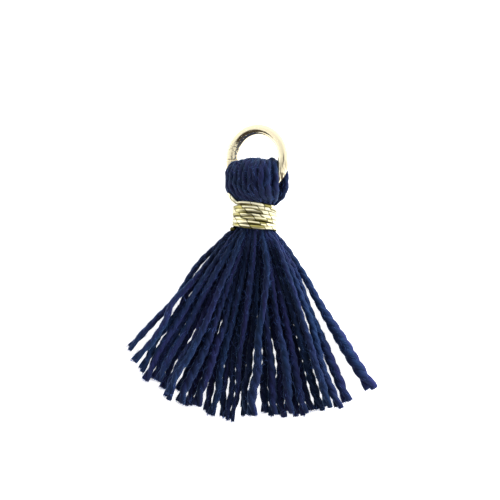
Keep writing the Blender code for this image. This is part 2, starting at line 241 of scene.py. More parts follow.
# Sections of the hank from the neck up to the middle of the fold:
# y, half width, half depth, x, z, tilt in degrees, squareness (2 is oval)
HEAD_ROWS = (
    (0.80, 1.44, 1.24, 0.00, 1.50, 0, 2.0),
    (1.20, 1.84, 1.44, 0.24, 1.60, 8, 2.1),
    (1.50, 2.10, 1.66, 0.26, 1.80, 16, 2.2),
    (1.88, 2.45, 1.88, 0.20, 2.02, 25, 2.4),
    (2.30, 2.64, 2.03, 0.17, 2.20, 30, 2.6),
    (2.80, 2.64, 2.10, 0.19, 2.25, 30, 2.6),
)
FOLD_TOP = 4.90  # y of the fold's outside
FOLD_NARROWING = (0.90, 0.78)  # width at the fold's top as a share of that at its middle, left and right
LEGS_APART = 0.11  # above the neck the front leg goes this much left and the back one right
LEGS_PART_OVER = 0.7  # length over which they do
FOLD_STEPS = 7
FOLD_SQUARENESS = 2.5
FOLD_UNEVEN = (-0.08, 0.04)  # a thread's top lies lower or higher by a chance between these
FOLD_DROOP = 0.16  # the outermost threads lie this much lower at the top
CREST_RISE, CREST_AT, CREST_BREADTH = 0.16, -0.2, 0.35  # the top is highest a little left of its middle
HEAD_UNEVEN = 0.02  # chance in a thread's place across the head, but for the outermost ones
INNER_CLEARANCE = 1.52  # from the ring's centre to the threads that lie on its wire

# The skirt's cut threads from left to right: directions in degrees from straight down at each of
# WAY_STATIONS, then the distance to the cut end and the width of that end
WAY_STATIONS = (5.0, 6.5, 8.0, 9.5, 11.0, 12.7, 14.5, 15.5, 16.5, 18.0)
WAYS = (
    (-42.5, -44.1, -43.0, -41.0, -40.0, -40.8, -41.1, -41.15, -41.3, -41.3, 16.65, 0.62),
    (-39.2, -38.9, -38.9, -39.5, -40.6, -37.5, -36.9, -37.3, -37.75, -37.9, 17.15, 0.62),
    (-36.5, -37.0, -36.9, -37.9, -36.0, -35.9, -36.8, -35.2, -34.9, -34.5, 17.5, 0.66),
    (-34.6, -34.8, -34.6, -34.6, -33.9, -33.6, -33.7, -33.3, -32.4, -32.2, 17.8, 0.64),
    (-32.4, -32.6, -32.5, -32.2, -31.9, -31.6, -31.6, -31.3, -30.4, -30.2, 17.5, 0.70),
    (-30.2, -30.2, -30.2, -29.8, -29.4, -29.2, -29.5, -29.4, -29.1, -28.8, 17.45, 0.64),
    (-27.8, -28.0, -27.8, -27.3, -27.0, -27.3, -27.6, -28.3, -27.3, -26.9, 17.75, 0.62),
    (-25.4, -25.2, -25.1, -25.1, -24.8, -24.0, -25.6, -25.25, -25.6, -24.6, 18.3, 0.78),
    (-23.2, -23.3, -23.2, -23.0, -22.8, -23.3, -23.8, -24.8, -25.0, -24.4, 17.7, 0.62),
    (-21.5, -21.4, -21.2, -21.0, -20.9, -20.9, -21.9, -22.1, -22.5, -22.9, 17.35, 0.68),
    (-19.4, -19.5, -19.4, -19.3, -19.2, -19.2, -20.0, -20.6, -21.1, -21.1, 18.1, 0.80),
    (-17.2, -17.3, -17.3, -17.4, -18.3, -17.5, -18.5, -18.8, -18.9, -18.8, 18.3, 0.80),
    (-14.9, -14.9, -15.0, -15.1, -14.7, -15.8, -15.9, -16.1, -16.7, -16.4, 17.95, 0.78),
    (-12.8, -12.9, -13.0, -13.1, -13.3, -14.0, -14.1, -14.1, -13.9, -13.5, 18.55, 0.66),
    (-10.6, -10.9, -11.2, -11.4, -11.8, -12.2, -12.3, -11.9, -11.3, -12.1, 18.6, 0.62),
    (-8.4, -8.8, -9.1, -9.4, -9.9, -10.4, -9.9, -10.2, -10.1, -8.9, 18.6, 0.64),
    (-6.2, -6.7, -7.1, -7.4, -7.9, -8.4, -8.2, -7.5, -7.45, -8.0, 18.55, 0.57),
    (-4.0, -4.5, -4.9, -5.4, -6.0, -6.6, -6.2, -5.7, -5.6, -6.6, 18.65, 0.50),
    (-2.0, -2.5, -3.0, -3.3, -3.8, -4.6, -4.6, -4.3, -3.6, -3.5, 17.6, 0.58),
    (0.0, -0.4, -0.8, -0.9, -1.4, -2.6, -2.5, -3.95, -3.3, -3.2, 18.1, 0.64),
    (3.0, 2.3, 1.8, 1.9, 2.5, 4.1, 2.9, 2.1, 2.5, 2.4, 18.1, 0.80),
    (5.5, 5.0, 4.7, 4.6, 4.9, 5.1, 5.3, 4.7, 4.8, 4.5, 18.15, 0.78),
    (7.6, 7.5, 7.5, 7.4, 7.5, 9.0, 8.7, 7.3, 6.8, 6.8, 18.35, 0.90),
    (10.0, 7.5, 5.0, 2.8, 0.7, 0.6, 0.3, -0.9, -1.5, -1.1, 17.95, 0.84),
    (11.6, 11.0, 10.4, 9.9, 9.8, 10.4, 10.2, 9.7, 9.3, 8.9, 18.05, 0.78),
    (13.4, 13.0, 12.7, 12.4, 12.2, 12.0, 11.7, 11.5, 11.1, 11.0, 18.5, 0.74),
    (15.6, 15.2, 14.8, 14.3, 13.9, 13.5, 13.1, 12.9, 12.7, 12.9, 18.5, 0.72),
    (17.8, 17.3, 16.8, 16.2, 15.7, 15.1, 15.0, 14.7, 14.3, 14.9, 18.45, 0.72),
    (20.0, 19.5, 19.0, 18.6, 18.3, 17.8, 17.5, 17.3, 17.3, 17.2, 18.5, 0.78),
    (22.2, 21.3, 20.6, 20.2, 19.8, 19.4, 20.0, 20.9, 20.7, 20.6, 17.9, 0.58),
    (24.5, 23.7, 22.8, 22.0, 21.2, 20.9, 19.8, 20.2, 19.9, 19.4, 18.4, 0.70),
    (27.3, 26.8, 26.0, 25.1, 24.8, 23.3, 22.0, 21.7, 21.8, 22.0, 18.8, 0.76),
    (30.0, 29.8, 28.5, 26.9, 26.0, 25.7, 25.3, 25.15, 25.0, 24.7, 18.85, 0.90),
    (33.2, 33.2, 33.2, 32.2, 31.9, 31.9, 31.8, 31.75, 31.75, 31.8, 18.75, 1.12),
)
APEX = Vector((0.15, 1.15))  # the threads point at this place, as seen from above
FAN_LEFT, FAN_RIGHT = -42.0, 32.5  # edges of the fan where it leaves the neck
FAN_START = 3.2  # from the apex to where the threads are clear of the binding
STATION = 0.4  # between two points at which the pile's height is worked out
HEIGHT_EASE = 3  # stations over which a thread rises onto another
RISE_RATE = 2.2  # how soon a thread is fully on another as it comes over it
ENDS_APART, ENDS_AT = 0.86, 17.0  # middles of the ends that lie side by side, this far from the apex
NECK_END, PILE_EASE = -1.1, 2.6  # y where the neck ends, and how long it takes to sink to a flat pile
NECK_STATIONS = (-0.95, -0.3, 0.4)  # y of a thread's places inside the binding
ROOT_WIDTH, BODY_WIDTH = 0.44, 0.55  # of a thread where it leaves the neck, and along most of the skirt
WIDENING = 2.0  # length over which it widens from the one to the other
THICK_BODY = 0.6  # a thread with a thick end keeps at least this share of it all along
LOOSENING = (8.5, 14.5)  # between these it widens to its cut end
THREAD_OVAL = 0.88  # its height as a share of its width
REST_SHARE = 0.48  # from a thread's middle down to what it lies on, as a share of its width
WIRE_SHARE = 0.3  # how near its middle comes to the ring's wire, pressed on it, as a share of its width
NECK_WIDTH = 0.42
HEAD_WIDTH = 0.62
SWELLS_FROM, SWELLS_OVER = 1.0, 0.8  # y from which a thread swells above the neck, and how soon

PLY_SHARE = 0.78  # a ply's width as a share of its thread's
PLY_APART = 0.115  # from the thread's middle to its ply's middle, as a share of its width
PARTED, PARTED_SHARE = 0.23, 0.64  # the same two at the cut end, where the plies part
PARTED_LENGTH = 2.6  # from the cut end to where they begin to part
PLY_PITCH = 2.25  # one full turn of the plies
END_TWIST = 0.4  # how far the plies still turn at their very ends, as a share of the pitch elsewhere
END_TURN = 20  # degrees at most between the two plies of a cut end and the surface
PLY_STEP = 0.19
PLY_EASE = 6  # rounds of averaging that take the corners out of a thread's way
PLY_RESOLUTION = 2  # eight sides
NAVY, PURPLE_NAVY, TEAL_NAVY, BLOOM = "#161F3B", "#1A1D3F", "#13223D", "#6E91B8"
DYE_SCALE = (20, 0.14, 0.5)  # the dye changes in 3 degrees across the fan, 7 mm along it and 2 mm up
PLY_MAP = (43, 1.2, 1)  # brings a ply's map, which runs once along and once round it, to millimetres
FIBRE_LAY = math.radians(22)  # how steeply the fibres run round their ply
FIBRE_SCALE = (1.2, 14, 1)  # a millimetre: marks 0.8 mm long and 0.07 mm wide
BETWEEN_FIBRES, ON_FIBRES = 0.78, 1.22  # brightness
NAP_DEPTH = 0.05  # how high the fibres seem to lie
# Painted light: the outermost threads, which lie apart, are painted paler to stand for the extra light that
# reaches them.
OUTER_PAINTED_LIGHT = 1.75  # how much paler the outermost threads are
PALER_ASIDE, PALEST_ASIDE = 0.34, 0.50  # radians from straight down, between which they grow paler
PALER_BELOW, PALEST_BELOW = 6.0, 9.0  # and the same in millimetres from the apex


def smooth(t):
    """Eases from 0 to 1 as t goes from 0 to 1."""
    t = min(max(t, 0.0), 1.0)
    return t * t * (3 - 2 * t)


def width_at(thread, r):
    """A thread's width at a distance from the apex."""
    body = max(BODY_WIDTH, thread["end"] * THICK_BODY)
    width = ROOT_WIDTH + (body - ROOT_WIDTH) * smooth((r - FAN_START) / WIDENING)
    near, far = LOOSENING
    return width + (thread["end"] - body) * smooth((r - near) / (far - near))


def skirt_threads():
    """The skirt's threads from left to right, each with its way from the apex, length and end width."""
    made = []
    for i, (*angles, length, end) in enumerate(WAYS):
        root = FAN_LEFT + (FAN_RIGHT - FAN_LEFT) * i / (len(WAYS) - 1)
        made.append({"way": list(zip((FAN_START, *WAY_STATIONS), (root, *angles))), "tip": angles[-1],
                     "length": length, "end": end})
    return made


def thread_angle(thread, r):
    """A thread's direction from the apex at a distance r from it."""
    for (near, before), (far, after) in zip(thread["way"], thread["way"][1:]):
        if r <= far:
            return before + (after - before) * (r - near) / (far - near)
    return thread["tip"]


def laying_order(threads):
    """First the threads whose ends have room side by side on the surface, then those on top of them."""
    room = math.degrees(ENDS_APART / ENDS_AT)
    order, waiting = [], list(range(len(threads)))
    while waiting:
        layer = []
        for k in waiting:
            if not layer or threads[k]["tip"] - threads[layer[-1]]["tip"] > room:
                layer.append(k)
        order += layer[0::2] + layer[1::2]
        waiting = [k for k in waiting if k not in layer]
    return order


def average(numbers):
    return sum(numbers) / len(numbers)


def laid_heights(threads, stations, order):
    """Height of each thread's underside, laid one after another on the surface and each other."""
    across = [[math.radians(thread_angle(t, r)) * r for r in stations] for t in threads]
    low = {}
    for k in order:
        needed = []
        for s, r in enumerate(stations):
            width = width_at(threads[k], r)
            rise = width * THREAD_OVAL
            crossing = 0.0
            for j in low:
                overlap = 1 - abs(across[j][s] - across[k][s]) / width
                if overlap > 0:
                    crossing = max(crossing, low[j][s] + rise * min(overlap * RISE_RATE, 1.0))
            needed.append(crossing)
        for ease in (max, average, average):
            needed = [ease(needed[max(s - HEIGHT_EASE, 0):s + HEIGHT_EASE + 1]) for s in range(len(needed))]
        low[k] = needed
    return low


def head_point(row, across, share, side):
    """A thread's place in one section of the hank; side is 1 for the front leg and -1 for the back one."""
    y, half_width, half_depth, x, z, tilt, squareness = row
    depth = share * (1 - abs(across) ** squareness) ** (1 / squareness)
    u = across * (half_width - HEAD_WIDTH / 2)
    n = side * depth * (half_depth - HEAD_WIDTH / 2)
    tilt = math.radians(tilt)
    x -= side * LEGS_APART * smooth((y - HEAD_ROWS[0][0]) / LEGS_PART_OVER)
    x += u * math.cos(tilt) - n * math.sin(tilt)
    z += u * math.sin(tilt) + n * math.cos(tilt)
    return Vector((x, y, z))


def fold_points(across, share, chance):
    """A thread's way over the ring's wire, from the front leg to the back one."""
    y, half_width, half_depth, x, z, _, squareness = HEAD_ROWS[-1]
    u = across * (half_width - HEAD_WIDTH / 2)
    if share < 1:
        top = RING_CENTRE.y - math.sqrt(INNER_CLEARANCE ** 2 - (u * FOLD_NARROWING[1]) ** 2)
        top += chance.choice(INNER_ROWS)
    else:
        top = FOLD_TOP - HEAD_WIDTH / 2 + chance.uniform(*FOLD_UNEVEN) - FOLD_DROOP * abs(across) ** 3
        top += CREST_RISE * math.exp(-((across - CREST_AT) / CREST_BREADTH) ** 2)
    depth = share * (1 - abs(across) ** squareness) ** (1 / squareness) * (half_depth - HEAD_WIDTH / 2)
    power = 2 / FOLD_SQUARENESS
    points = []
    for i in range(-FOLD_STEPS, FOLD_STEPS + 1):
        turn = math.pi / 2 * i / (FOLD_STEPS + 1)
        near = math.copysign(abs(math.sin(turn)) ** power, -turn)  # 1 on the front leg, -1 on the back one
        rise = math.cos(turn) ** power
        n = near * depth
        v = u * (1 - (1 - FOLD_NARROWING[u > 0]) * rise ** 3)
        points.append(Vector((
            x - near * LEGS_APART + v * math.cos(RING_TILT) - n * math.sin(RING_TILT),
            y + (top - y) * rise,
            z + v * math.sin(RING_TILT) + n * math.cos(RING_TILT),
        )))
    return points


def skirt_points(thread, low, stations):
    """A thread from its cut end up to the neck, as points with widths."""
    points = []
    r = thread["length"]
    while r > FAN_START:
        angle = math.radians(thread_angle(thread, r))
        at = (r - stations[0]) / STATION
        s = min(max(int(at), 0), len(stations) - 2)
        underside = low[s] + (low[s + 1] - low[s]) * min(max(at - s, 0.0), 1.0)
        width = width_at(thread, r)
        x, y = APEX + r * Vector((math.sin(angle), -math.cos(angle)))
        points.append((Vector((x, y, underside + REST_SHARE * width)), width))
        r -= STATION
    return points


def off_wire(middle, radius):
    """The place nearest to the given one where something of this radius clears the ring's wire."""
    lean = Matrix.Rotation(-RING_TILT, 3, "Y")
    flat = lean.inverted() @ (middle - RING_CENTRE)
    outward = Vector((flat.x, flat.y, 0)).normalized()
    away = flat - outward * RING_RADIUS
    room = wire_radius(outward) + radius
    if away.length < room:
        flat = outward * RING_RADIUS + away.normalized() * room
    return lean @ flat + RING_CENTRE


def even_path(points, step, rounds):
    """Even steps along the points, rounded by averaging each with its neighbours; (x, y, z, width)."""
    path, spare = [points[0].copy()], 0.0
    for this, following in zip(points, points[1:]):
        length = (following.xyz - this.xyz).length
        along = step - spare
        while along <= length:
            path.append(this.lerp(following, along / length))
            along += step
        spare = (spare + length) % step
    for _ in range(rounds):
        rounded = [(a + 2 * b + c) / 4 for a, b, c in zip(path, path[1:], path[2:])]
        path = [path[0], *rounded, path[-1]]
    return path


def leg_points(thread, low, stations, across, share, side):
    """One leg of a folded thread, from its cut end to the middle of the head; (x, y, z, width)."""
    head = [head_point(section, across, share, side) for section in HEAD_ROWS]
    neck = head[0]
    leg = []
    for point, width in skirt_points(thread, low, stations):
        sunk = smooth((NECK_END - point.y) / PILE_EASE)
        leg.append(Vector((point.x, point.y, neck.z + (point.z - neck.z) * sunk, width)))
    for y in NECK_STATIONS:
        leg.append(Vector((neck.x, y, neck.z, NECK_WIDTH)))
    for point in head:
        swollen = smooth((point.y - SWELLS_FROM) / SWELLS_OVER)
        leg.append(Vector((*point, NECK_WIDTH + (HEAD_WIDTH - NECK_WIDTH) * swollen)))
    return leg


def whole_threads():
    """The middle of every folded thread, from its front end over the ring to its back end."""
    chance = random.Random(23)
    ends = skirt_threads()
    longest = max(end["length"] for end in ends)
    stations = [FAN_START + STATION * i for i in range(math.ceil((longest - FAN_START) / STATION) + 1)]
    order = laying_order(ends)
    low = laid_heights(ends, stations, order)
    back = sorted(order[:HEAD_THREADS])
    front = sorted(order[HEAD_THREADS:])
    outer = [i for i in range(HEAD_THREADS) if i not in INNER_THREADS]
    paths = []
    for i in range(HEAD_THREADS):
        if i in INNER_THREADS:
            row, share, spread = INNER_THREADS, INNER_DEPTH, HEAD_EDGE * INNER_SPREAD
        else:
            row, share, spread = outer, 1.0, HEAD_EDGE
        across = spread * (2 * row.index(i) / (len(row) - 1) - 1)
        uneven = chance.uniform(-HEAD_UNEVEN, HEAD_UNEVEN)
        if abs(across) < HEAD_EDGE:
            across += uneven
        front_leg = leg_points(ends[front[i]], low[front[i]], stations, across, share, 1)
        back_leg = leg_points(ends[back[i]], low[back[i]], stations, across, share, -1)
        fold = [Vector((*point, HEAD_WIDTH)) for point in fold_points(across, share, chance)]
        path = even_path(front_leg + fold + back_leg[::-1], PLY_STEP, PLY_EASE)
        for point in path:
            point.xyz = off_wire(point.xyz, WIRE_SHARE * point.w)
            point.z = max(point.z, REST_SHARE * point.w)
        paths.append(path)
    return paths


def level_turn(frame):
    """The turn at which a ply lies level beside its thread's middle."""
    along, aside, beside = frame
    level = along.cross(Vector((0, 0, 1)))
    return math.atan2(level.dot(beside), level.dot(aside))


def plies_of(path, chance):
    """Two plies twisted round a path, cut a little unevenly: lists of (middle, outward, along, radius)."""
    made = ([], [])
    frames, aside = [], Vector((0, 0, 1))
    for i in range(len(path)):
        along = (path[min(i + 1, len(path) - 1)].xyz - path[max(i - 1, 0)].xyz).normalized()
        aside = (aside - along * aside.dot(along)).normalized()
        frames.append((along, aside, along.cross(aside)))
    half_turns = round(2 * len(path) * PLY_STEP / PLY_PITCH)
    first, last = (level_turn(end) + math.radians(chance.uniform(-END_TURN, END_TURN))
                   for end in (frames[0], frames[-1]))
    loosened = [smooth(1 - min(i, len(path) - 1 - i) * PLY_STEP / PARTED_LENGTH) for i in range(len(path))]
    twisted = [0.0]
    for loose in loosened[1:]:
        twisted.append(twisted[-1] + 1 - (1 - END_TWIST) * loose)
    for point, (along, aside, beside), loose, share_turned in zip(path, frames, loosened, twisted):
        apart = PLY_APART + (PARTED - PLY_APART) * loose
        share = PLY_SHARE + (PARTED_SHARE - PLY_SHARE) * loose
        turn = first + (last - first - math.pi * half_turns) * share_turned / twisted[-1]
        for ply, start in zip(made, (0.0, math.pi)):
            out = aside * math.cos(turn + start) * THREAD_OVAL + beside * math.sin(turn + start)
            middle = point.xyz + out * apart * point.w
            radius = share * point.w / 2
            middle.z = max(middle.z, radius)
            middle = off_wire(middle, radius)
            ply.append((middle, out.normalized(), along, radius))
    return [ply[chance.randrange(2):len(ply) - chance.randrange(2)] for ply in made]


def strand_mesh(name, lines, resolution):
    """Tubes along lines of (point, radius) in millimetres, as one mesh; U runs along each, V round it."""
    curve = bpy.data.curves.new(name, "CURVE")
    curve.dimensions = "3D"
    curve.bevel_depth = MM
    curve.bevel_resolution = resolution
    curve.use_fill_caps = True
    for line in lines:
        spline = curve.splines.new("POLY")
        spline.points.add(len(line) - 1)
        for knot, (point, radius) in zip(spline.points, line):
            knot.co = (*(point * MM), 1.0)
            knot.radius = radius
    holder = bpy.data.objects.new(name, curve)
    bpy.context.scene.collection.objects.link(holder)
    bpy.context.view_layer.update()
    mesh = bpy.data.meshes.new_from_object(holder.evaluated_get(bpy.context.evaluated_depsgraph_get()))
    bpy.data.objects.remove(holder)
    bpy.data.curves.remove(curve)
    bm = bmesh.new()
    bm.from_mesh(mesh)
    bmesh.ops.remove_doubles(bm, verts=bm.verts, dist=1e-4 * MM)
    bpy.data.meshes.remove(mesh)
    return mesh_of(bm, name)


chance = random.Random(5)
plies = [ply for path in whole_threads() for ply in plies_of(path, chance)]

# Dyed cotton yarn: matt, deep navy, a little purple or teal where the dye took unevenly, with a
# bloom of fibre ends where light grazes it. The outermost threads are painted paler: painted light
# for the extra light that reaches them. Real fibres are 0.015 mm wide; their marks are drawn
# 0.07 mm wide, or they wouldn't show.
yarn_finish, tree, place, uv = new_material("navy cotton yarn")
from_apex = add_node(tree, "ShaderNodeVectorMath", {"operation": "SUBTRACT", 1: (*APEX, 0)}, {0: place})
across_up = add_node(tree, "ShaderNodeSeparateXYZ", links={0: from_apex.outputs["Vector"]})
downward = add_node(tree, "ShaderNodeMath", {"operation": "MULTIPLY", 1: -1.0}, {0: across_up.outputs["Y"]})
direction = add_node(tree, "ShaderNodeMath", {"operation": "ARCTAN2"},
                     {0: across_up.outputs["X"], 1: downward.outputs["Value"]})
distance = add_node(tree, "ShaderNodeVectorMath", {"operation": "LENGTH"}, {0: from_apex.outputs["Vector"]})
in_fan = add_node(tree, "ShaderNodeCombineXYZ", links={
    "X": direction.outputs["Value"], "Y": distance.outputs["Value"], "Z": across_up.outputs["Z"]})
dye_place = add_node(tree, "ShaderNodeMapping", {"Scale": DYE_SCALE}, {"Vector": in_fan.outputs["Vector"]})
dye = add_node(tree, "ShaderNodeTexNoise", {"Scale": 1.0, "Detail": 2.0},
               {"Vector": dye_place.outputs["Vector"]})
dyed = add_node(tree, "ShaderNodeValToRGB", links={"Fac": dye.outputs["Fac"]})
shades = dyed.color_ramp.elements
shades[0].position, shades[0].color = 0.36, linear(PURPLE_NAVY)
shades[1].position, shades[1].color = 0.64, linear(TEAL_NAVY)
shades.new(0.5).color = linear(NAVY)
on_ply = add_node(tree, "ShaderNodeMapping", {"Scale": PLY_MAP, "Rotation": (0, 0, FIBRE_LAY)},
                  {"Vector": uv})
on_fibre = add_node(tree, "ShaderNodeMapping", {"Scale": FIBRE_SCALE}, {"Vector": on_ply.outputs["Vector"]})
fibres = add_node(tree, "ShaderNodeTexNoise", {"Scale": 1.0, "Detail": 2.0, "noise_dimensions": "2D"},
                  {"Vector": on_fibre.outputs["Vector"]})
mottle = add_node(tree, "ShaderNodeMapRange", {1: 0.3, 2: 0.75, 3: BETWEEN_FIBRES, 4: ON_FIBRES},
                  {0: fibres.outputs["Fac"]})
off_middle = add_node(tree, "ShaderNodeMath", {"operation": "ABSOLUTE"}, {0: direction.outputs["Value"]})
outermost = add_node(tree, "ShaderNodeMapRange", {1: PALER_ASIDE, 2: PALEST_ASIDE, 3: 1.0, 4: OUTER_PAINTED_LIGHT},
                     {0: off_middle.outputs["Value"]})
below_head = add_node(tree, "ShaderNodeMapRange", {1: PALER_BELOW, 2: PALEST_BELOW},
                      {0: distance.outputs["Value"]})
# Painted light: threads far out to the sides and well below the head are brightened.
painted_light_gain = add_node(tree, "ShaderNodeMix", {"data_type": "FLOAT", 2: 1.0},
                 {0: below_head.outputs["Result"], 3: outermost.outputs["Result"]})
brightness = add_node(tree, "ShaderNodeMath", {"operation": "MULTIPLY"},
                      {0: mottle.outputs["Result"], 1: painted_light_gain.outputs[0]})
yarn_colour = add_node(tree, "ShaderNodeVectorMath", {"operation": "SCALE"},
                       {"Vector": dyed.outputs["Color"], "Scale": brightness.outputs["Value"]})
nap = add_node(tree, "ShaderNodeBump", {"Strength": 0.6, "Distance": NAP_DEPTH * MM},
               {"Height": fibres.outputs["Fac"]})
finish_material(tree, add_node(
    tree, "ShaderNodeBsdfPrincipled",
    {"Roughness": 0.85, "Specular IOR Level": 0.12, "Sheen Weight": 0.7, "Sheen Roughness": 0.3,
     "Sheen Tint": linear(BLOOM)},
    {"Base Color": yarn_colour.outputs["Vector"], "Normal": nap.outputs["Normal"]}))

ply_lines = [[(middle, radius) for middle, _, _, radius in ply] for ply in plies]
add_piece("yarn_threads", strand_mesh("yarn_threads", ply_lines, PLY_RESOLUTION), yarn_finish, "yarn")


# -------------------------------------------------------------------- fuzz
# Loose ends of cotton fibre that stand out of the plies, more of them at the cut ends, where the
# scissors left a short brush. They are held only by the twist. Real ones are 0.015 mm thick, and
# are made 0.017 mm so that they show.

FUZZ_FIBRES = 9000
END_FIBRES = 30  # at each cut end of a ply
FUZZ_RADIUS, TIP_SHARE = 0.0085, 0.5  # at the root, and at the tip as a share of it
FUZZ_LENGTHS = (0.25, 0.65)
FUZZ_SIDES = 1.3  # radians each way round a ply from its outer side
OUTWARDS, ALONG_PLY = (0.1, 0.8), (0.6, 1.0)  # how far a fibre goes each way, by chance
ROOTED = 0.9  # where it comes out, as a share of the ply's radius
END_LENGTHS = (0.06, 0.36)
END_SPREAD = 0.2  # how much the outer fibres of a brush lean outwards
END_ROOTED = 0.05  # how deep in the cut end they start
FUZZ_STEPS = 2
FIBRE_BEND = 0.28  # chance in its direction at each step
DARK_FIBRE, PALE_FIBRE, LIT_THROUGH = "#22356A", "#4C66A2", "#7C9CD2"
PATCH_SCALE = 1.4  # a millimetre: paler patches 0.7 mm wide
THIN = 0.4  # share of the light that passes through a fibre


def fibre(root, way, length, chance):
    """One bent fibre from a point on a ply's surface."""
    line, point, way = [], root.copy(), way.normalized()
    for i in range(FUZZ_STEPS + 1):
        line.append((point.copy(), FUZZ_RADIUS * (1 - (1 - TIP_SHARE) * i / FUZZ_STEPS)))
        bend = Vector([chance.gauss(0, FIBRE_BEND) for _ in range(3)])
        way = (way + bend).normalized()
        point += way * length / FUZZ_STEPS
        point.z = max(point.z, FUZZ_RADIUS)
        point = off_wire(point, FUZZ_RADIUS)
    return line


def fuzz_line(chance):
    """A fibre that stands out of a ply somewhere along it."""
    ply = chance.choice(plies)
    middle, out, along, radius = ply[chance.randrange(len(ply))]
    away = Matrix.Rotation(chance.uniform(-FUZZ_SIDES, FUZZ_SIDES), 3, along) @ out
    way = away * chance.uniform(*OUTWARDS) + along * chance.choice((-1, 1)) * chance.uniform(*ALONG_PLY)
    return fibre(middle + away * radius * ROOTED, way, chance.uniform(*FUZZ_LENGTHS), chance)


def end_line(end, outward, chance):
    """A fibre of the brush at a ply's cut end; outward is -1 at its first end and 1 at its last."""
    middle, out, along, radius = end
    beside = along.cross(out)
    off_centre = radius * math.sqrt(chance.random())
    turn = chance.uniform(0, math.tau)
    spot = out * math.cos(turn) * off_centre + beside * math.sin(turn) * off_centre
    way = along * outward + spot / radius * END_SPREAD
    root = middle + spot - along * outward * END_ROOTED
    return fibre(root, way, chance.uniform(*END_LENGTHS), chance)


fuzz = [fuzz_line(chance) for _ in range(FUZZ_FIBRES)]
brush = [end_line(end, outward, chance) for ply in plies for end, outward in ((ply[0], -1), (ply[-1], 1))
         for _ in range(END_FIBRES)]

# Single cotton fibres: the same dye, but so thin that light passes through them, which makes them
# a paler blue along the yarn's outline
fuzz_finish, tree, place, _ = new_material("navy cotton fibres")
patches = add_node(tree, "ShaderNodeTexNoise", {"Scale": PATCH_SCALE, "Detail": 1.0}, {"Vector": place})
fibre_tone = add_node(tree, "ShaderNodeValToRGB", links={"Fac": patches.outputs["Fac"]})
shades = fibre_tone.color_ramp.elements
shades[0].position, shades[0].color = 0.35, linear(DARK_FIBRE)
shades[1].position, shades[1].color = 0.70, linear(PALE_FIBRE)
outside = add_node(tree, "ShaderNodeBsdfPrincipled", {"Roughness": 0.6, "Specular IOR Level": 0.4},
                   {"Base Color": fibre_tone.outputs["Color"]})
through = add_node(tree, "ShaderNodeBsdfTranslucent", {"Color": linear(LIT_THROUGH)})
fibre_mix = add_node(tree, "ShaderNodeMixShader", {0: THIN},
                     {1: outside.outputs["BSDF"], 2: through.outputs["BSDF"]})
add_node(tree, "ShaderNodeOutputMaterial", links={"Surface": fibre_mix.outputs["Shader"]})

for name, lines in (("yarn_fuzz", fuzz), ("yarn_cut_ends", brush)):
    add_piece(name, strand_mesh(name, lines, 0), fuzz_finish)


# ----------------------------------------------------------------- binding
# Seven turns of metallic thread wound round the neck and pulled tight: a cotton core wrapped in
# gold film. They lie side by side and slope a little, with the thread's two ends tucked out at
# the left.

BINDING_TOP, BINDING_BOTTOM = 1.03, -1.31
TURNS = 7
BINDING_HALF_WIDTH, BINDING_OVAL = 1.72, 0.86  # to the middle of the thread
BINDING_RADIUS = 1.6  # the mean of its half width and half depth
BINDING_Z = 1.494
UPPER_END = ((-2.18, 1.86, 2.25), (-1.94, 1.54, 2.60), (-1.68, 1.22, 2.62))  # loose, beside the head
LOWER_END = ((-1.90, -1.12, 1.40), (-2.02, -1.05, 1.30))  # a stub under the last turn
STARTS_AT = 0.014  # where the upper end joins the winding, as a share of it
METAL_THREAD = 0.36
METAL_STEP = 0.10
METAL_RESOLUTION = 6  # sixteen sides
METAL_EASE = 2  # rounds of averaging
SLOPE = 0.12  # the right side of each turn lies this much lower
BOW = 0.30  # the first turn rises this much in the middle of its front, and the last one is straight
UNEVEN, WANDERS = 0.030, 2.37  # the turns wander this far up and down, this often in one turn
LIE_FLAT = 0.18  # lowest the thread's middle can lie
# Lit cream and shaded olive tones of the one gold film, painted on as reflection, and a painted shade for its
# edges and grooves.
CREAM_GOLD, OLIVE_GOLD, EDGE_GOLD = "#FCF6D2", "#B4AB66", "#524D26"
PRESSED, OPEN = 0.44, 0.70  # shares of the thread's radius, outwards, between which it comes clear
LOOSE = 2.0  # counts as more than clear, which makes the loose end the palest
FILM_PITCH = 0.95  # from one turn of the film to the next
SLACK, SLACK_SCALE = 1.1, 0.9  # turns by which the film is out of step, and how often that changes
EDGE_DARK, EDGE_CLEAR = 0.02, 0.10  # shares of the pitch, from the film's edge
# Painted reflection: each facet is painted by chance as lit cream or shaded olive, and the loose end as lit
# cream.
SHADED_FACET_BELOW, LIT_FACET_ABOVE = 0.12, 0.42  # a turn of film that draws less is olive, and more is cream
FACET_LEAN = 0.5  # how far apart two facets can lean, as a share of a normal's length


def binding_path():
    """The middle of the binding's thread, from its upper end round the neck to its lower one."""
    steps = int(TURNS * math.tau * BINDING_RADIUS / METAL_STEP)
    places = [Vector(place) for place in UPPER_END]
    for i in range(round(steps * STARTS_AT), steps + 1):
        turn = TURNS * math.tau * i / steps
        x = -BINDING_HALF_WIDTH * math.cos(turn)
        z = BINDING_Z + BINDING_HALF_WIDTH * BINDING_OVAL * math.sin(turn)
        y = BINDING_TOP - METAL_THREAD / 2 - (BINDING_TOP - BINDING_BOTTOM - METAL_THREAD) * i / steps
        y += -SLOPE * x / BINDING_HALF_WIDTH + BOW * (1 - i / steps) * max(math.sin(turn), 0.0)
        y += UNEVEN * math.sin(turn * WANDERS)
        places.append(Vector((x, y, max(z, LIE_FLAT))))
    places += [Vector(place) for place in LOWER_END]
    return even_path([Vector((*place, METAL_THREAD)) for place in places], METAL_STEP, METAL_EASE)


